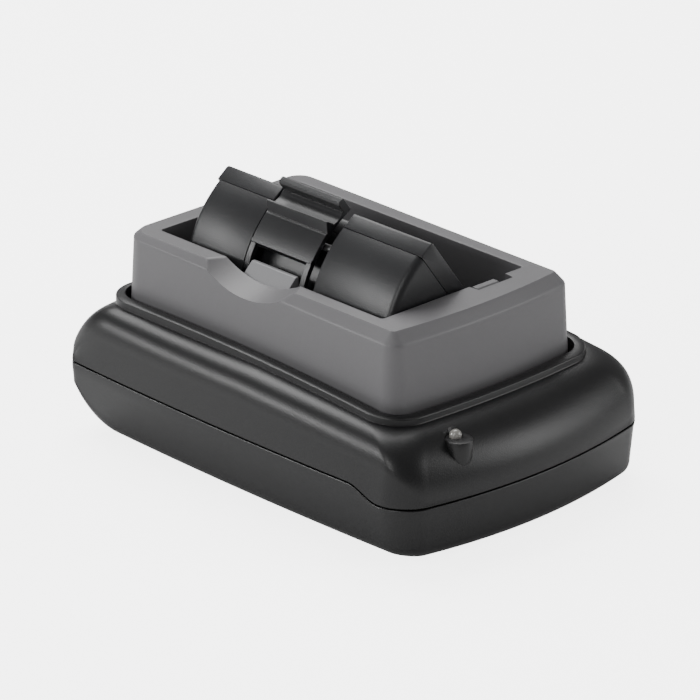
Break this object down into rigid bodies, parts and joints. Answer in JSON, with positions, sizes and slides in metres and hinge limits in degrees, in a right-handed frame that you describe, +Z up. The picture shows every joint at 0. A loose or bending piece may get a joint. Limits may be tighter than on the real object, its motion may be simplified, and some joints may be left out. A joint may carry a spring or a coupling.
{
  "type": "desktop charging dock with battery pack",
  "caption": "Desktop charging dock: black two-shell base, grey tapered cradle with a finger scoop, and a removable battery pack with a release latch.",
  "frame": {"origin": "middle of the footprint, on the table", "axes": "+X right, +Y to the back, +Z up; the indicator lamp is at the -Y end and the scoop on the -X side"},
  "size_m": [0.132, 0.195, 0.1059],
  "materials": {
    "black_shell": "fine moulded grain, satin",
    "grey_cradle": "fine moulded grain",
    "pack_plastic": "fine moulded grain",
    "light_grey_plastic": "smooth moulded",
    "foot_rubber": "matt",
    "screw_steel": "zinc plated",
    "contact_gold": "plated",
    "spring_steel": "bright",
    "circuit_board": "solder mask over laminate",
    "chip_black": "epoxy",
    "winding_copper": "enamelled copper",
    "core_iron": "laminated",
    "capacitor_sleeve": "shrink sleeve",
    "sink_aluminium": "extruded",
    "cell_sleeve": "shrink sleeve",
    "strap_nickel": "rolled",
    "lamp_lens": "clear diffusing",
    "holder_plastic": "natural"
  },
  "bodies": {
    "dock": {"base_lower_shell": "black_shell", "base_upper_shell": "black_shell", "rubber_feet": "foot_rubber", "shell_screws": "screw_steel", "cradle": "grey_cradle", "latch_keeper": "light_grey_plastic", "pack_rest": "grey_cradle", "contact_block": "black_shell", "contact_springs": "spring_steel", "contact_leads": "contact_gold", "charger_board": "circuit_board", "transformer_core": "core_iron", "transformer_winding": "winding_copper", "filter_capacitors": "capacitor_sleeve", "heat_sink": "sink_aluminium", "controller_chip": "chip_black", "board_screws": "screw_steel", "inlet_socket": "black_shell", "inlet_pin": "screw_steel", "status_lamp": "lamp_lens", "lamp_holder": "holder_plastic"},
    "front_snap": {"front_snap_arm": "grey_cradle"},
    "rear_snap": {"rear_snap_arm": "grey_cradle"},
    "plungers": {"contact_plungers": "contact_gold"},
    "pack": {"pack_housing": "pack_plastic", "pack_cover": "pack_plastic", "pack_screws": "screw_steel", "latch_pin": "screw_steel", "latch_spring": "spring_steel", "cells": "cell_sleeve", "cell_holders": "holder_plastic", "cell_straps": "strap_nickel", "protection_board": "circuit_board", "protection_chips": "chip_black", "contact_pads": "contact_gold", "contact_strip": "circuit_board"},
    "latch": {"release_latch": "pack_plastic"}
  },
  "joints": [
    {"name": "pack_lift", "type": "slide", "parent": "dock", "child": "pack", "axis": [0, 0, 1], "range_m": [0, 0.06]},
    {"name": "latch_rock", "type": "hinge", "parent": "pack", "child": "latch", "pos_m": [-0.01872, 0.0125, 0.08848], "axis": [0, 1, 0], "range_deg": [0, 6], "stiffness_Nm_per_rad": 0.5, "springref_deg": -2.86},
    {"name": "front_snap_flex", "type": "hinge", "parent": "dock", "child": "front_snap", "pos_m": [0.015, -0.0517, 0.0575], "axis": [1, 0, 0], "range_deg": [0, 2.5], "stiffness_Nm_per_rad": 2},
    {"name": "rear_snap_flex", "type": "hinge", "parent": "dock", "child": "rear_snap", "pos_m": [0.015, 0.0707, 0.0575], "axis": [1, 0, 0], "range_deg": [-2.5, 0], "stiffness_Nm_per_rad": 2},
    {"name": "plunger_press", "type": "slide", "parent": "dock", "child": "plungers", "axis": [0, 0, 1], "range_m": [-0.0015, 0], "stiffness_N_per_m": 400, "deforming": ["contact_springs"]}
  ]
}
